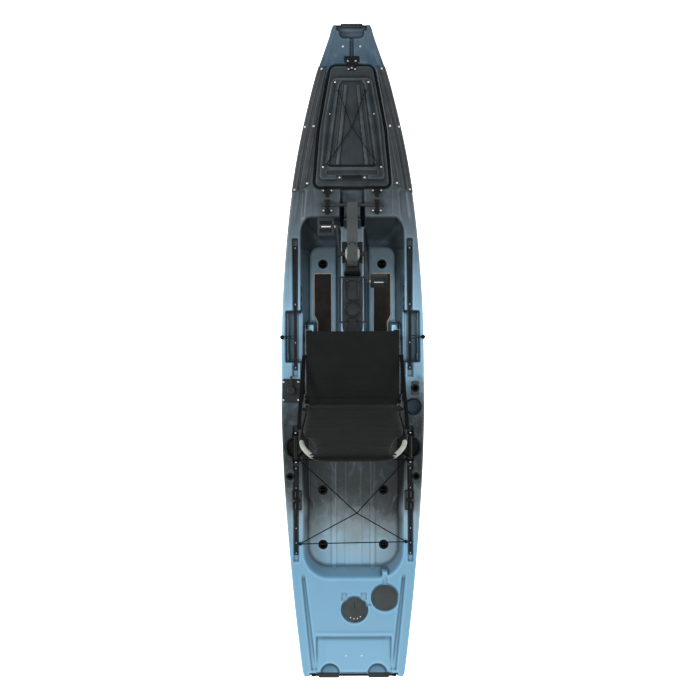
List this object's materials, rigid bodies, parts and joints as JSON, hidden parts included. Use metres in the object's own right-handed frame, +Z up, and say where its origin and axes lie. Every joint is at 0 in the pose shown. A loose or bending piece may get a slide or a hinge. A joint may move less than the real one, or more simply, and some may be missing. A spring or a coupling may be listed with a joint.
{
  "type": "pedal kayak",
  "caption": "Sit-on-top fishing kayak with a pedal drive on a tilting mast, framed folding seat, front hatch, gear tracks, tankwell and a steered kick-up rudder.",
  "frame": {"origin": "centre of the box at its base, where the keel rests on the ground", "axes": "+Y to the bow, +X to starboard, +Z up"},
  "size_m": [0.9154, 4.108, 0.8602],
  "materials": {
    "hull_polyethylene": "rotomoulded, satin, marbled blue to charcoal",
    "panel_plastic": "fine grain",
    "lid_plastic": "rotomoulded, marbled charcoal",
    "black_plastic": "moulded, satin",
    "pod_plastic": "grained",
    "track_aluminium": "black anodised",
    "bar_aluminium": "black anodised",
    "mast_paint": "grey, satin",
    "black_paint": "satin",
    "cover_metal": "brushed",
    "axle_steel": "turned",
    "frame_aluminium": "anodised, satin",
    "strap_rubber": "matte",
    "cord": "braided elastic cord",
    "pad_foam": "grooved foam sheet",
    "seat_fabric": "woven, padded"
  },
  "bodies": {
    "hull": {"hull": "hull_polyethylene", "bow_panel_left": "panel_plastic", "bow_panel_right": "panel_plastic", "hatch_hinge": "black_plastic", "deck_bracket_left": "black_plastic", "deck_bracket_right": "black_plastic", "drive_dock": "black_plastic", "console_pod": "pod_plastic", "console_bungee_left": "cord", "console_bungee_right": "cord", "foot_pad_left": "pad_foam", "foot_pad_right": "pad_foam", "seat_frame": "frame_aluminium", "seat_pan": "seat_fabric", "track_front_left": "track_aluminium", "track_front_right": "track_aluminium", "track_rear_left": "track_aluminium", "track_rear_right": "track_aluminium", "steering_plate": "black_plastic", "rod_holder_rear_left": "black_plastic", "rod_holder_rear_right": "black_plastic", "rod_holder_front": "black_plastic", "cup_liner": "black_plastic", "bow_handle": "strap_rubber", "stern_handle": "strap_rubber", "side_handle_left": "strap_rubber", "side_handle_right": "strap_rubber", "paddle_keeper_left": "strap_rubber", "paddle_keeper_right": "strap_rubber", "tankwell_bungee": "cord"},
    "hatch": {"hatch_lid": "lid_plastic", "hatch_track_left": "track_aluminium", "hatch_track_right": "track_aluminium", "hatch_strap": "strap_rubber", "hatch_bungee": "cord"},
    "hatch_latch_left": {"hatch_latch_left": "black_plastic"},
    "hatch_latch_right": {"hatch_latch_right": "black_plastic"},
    "bar_latch_left": {"bar_latch_left": "black_plastic"},
    "bar_latch_right": {"bar_latch_right": "black_plastic"},
    "drive": {"cross_bar": "bar_aluminium", "drive_mast": "mast_paint", "gearbox": "mast_paint", "gearbox_cover_left": "cover_metal", "gearbox_cover_right": "cover_metal"},
    "crank": {"crank_axle": "axle_steel", "crank_left": "black_paint", "crank_right": "black_paint"},
    "pedal_left": {"pedal_left": "black_plastic"},
    "pedal_right": {"pedal_right": "black_plastic"},
    "leg": {"drive_leg": "mast_paint"},
    "propeller": {"propeller": "black_plastic"},
    "seat_back": {"back_frame": "frame_aluminium", "back_cover": "seat_fabric"},
    "slide_left": {"slide_bracket_left": "black_plastic"},
    "slide_right": {"slide_bracket_right": "black_plastic"},
    "steering": {"steering_lever": "black_plastic"},
    "rudder": {"rudder_head": "black_plastic"},
    "rudder_blade": {"rudder_blade": "black_plastic"},
    "lid_centre": {"round_lid_centre": "black_plastic"},
    "lid_side": {"round_lid_side": "black_plastic"}
  },
  "joints": [
    {"name": "drive_tilt", "type": "hinge", "parent": "hull", "child": "drive", "pos_m": [0, 0.92, 0.3909], "axis": [-1, 0, 0], "range_deg": [0, 90]},
    {"name": "crank_spin", "type": "hinge", "parent": "drive", "child": "crank", "pos_m": [0, 0.612, 0.402], "axis": [1, 0, 0], "continuous": true},
    {"name": "pedal_left_spin", "type": "hinge", "parent": "crank", "child": "pedal_left", "pos_m": [-0.164, 0.782, 0.402], "axis": [1, 0, 0], "continuous": true},
    {"name": "pedal_right_spin", "type": "hinge", "parent": "crank", "child": "pedal_right", "pos_m": [0.164, 0.442, 0.402], "axis": [1, 0, 0], "continuous": true},
    {"name": "leg_swing", "type": "hinge", "parent": "hull", "child": "leg", "pos_m": [0, 0.612, 0.036], "axis": [1, 0, 0], "range_deg": [0, 90]},
    {"name": "prop_spin", "type": "hinge", "parent": "leg", "child": "propeller", "pos_m": [0, 0.282, 0.065], "axis": [0, 0, 1], "continuous": true},
    {"name": "hatch_open", "type": "hinge", "parent": "hull", "child": "hatch", "pos_m": [0, 1.797, 0.4228], "axis": [-1, 0, 0], "range_deg": [0, 100]},
    {"name": "hatch_latch_left_turn", "type": "hinge", "parent": "hull", "child": "hatch_latch_left", "pos_m": [-0.155, 1.004, 0.3974], "axis": [-1, 0, 0], "range_deg": [0, 100]},
    {"name": "hatch_latch_right_turn", "type": "hinge", "parent": "hull", "child": "hatch_latch_right", "pos_m": [0.155, 1.004, 0.3974], "axis": [-1, 0, 0], "range_deg": [0, 100]},
    {"name": "bar_latch_left_turn", "type": "hinge", "parent": "hull", "child": "bar_latch_left", "pos_m": [-0.155, 0.946, 0.3879], "axis": [-1, 0, 0], "range_deg": [0, 90]},
    {"name": "bar_latch_right_turn", "type": "hinge", "parent": "hull", "child": "bar_latch_right", "pos_m": [0.155, 0.946, 0.3879], "axis": [-1, 0, 0], "range_deg": [0, 90]},
    {"name": "back_fold", "type": "hinge", "parent": "hull", "child": "seat_back", "pos_m": [0, -0.334, 0.478], "axis": [-1, 0, 0], "range_deg": [0, 124]},
    {"name": "slide_left_move", "type": "slide", "parent": "hull", "child": "slide_left", "axis": [0, 1, 0], "range_m": [-0.17, 0.12]},
    {"name": "slide_right_move", "type": "slide", "parent": "hull", "child": "slide_right", "axis": [0, 1, 0], "range_m": [-0.17, 0.12]},
    {"name": "steering_turn", "type": "hinge", "parent": "hull", "child": "steering", "pos_m": [-0.386, -0.24, 0.35], "axis": [0, 0, 1], "range_deg": [-45, 45]},
    {"name": "rudder_turn", "type": "hinge", "parent": "hull", "child": "rudder", "pos_m": [0, -1.62, 0.12], "axis": [0, 0, 1], "range_deg": [-28, 28]},
    {"name": "rudder_kick", "type": "hinge", "parent": "rudder", "child": "rudder_blade", "pos_m": [0, -1.62, 0.088], "axis": [1, 0, 0], "range_deg": [0, 80]},
    {"name": "lid_centre_turn", "type": "hinge", "parent": "hull", "child": "lid_centre", "pos_m": [0.006, -1.621, 0.32], "axis": [0, 0, 1], "range_deg": [0, 90]},
    {"name": "lid_side_turn", "type": "hinge", "parent": "hull", "child": "lid_side", "pos_m": [0.198, -1.545, 0.32], "axis": [0, 0, 1], "range_deg": [0, 90]}
  ],
  "couplings": [
    {"joint": "prop_spin", "follows": "crank_spin", "ratio": 7},
    {"joint": "rudder_turn", "follows": "steering_turn", "ratio": 0.6}
  ]
}
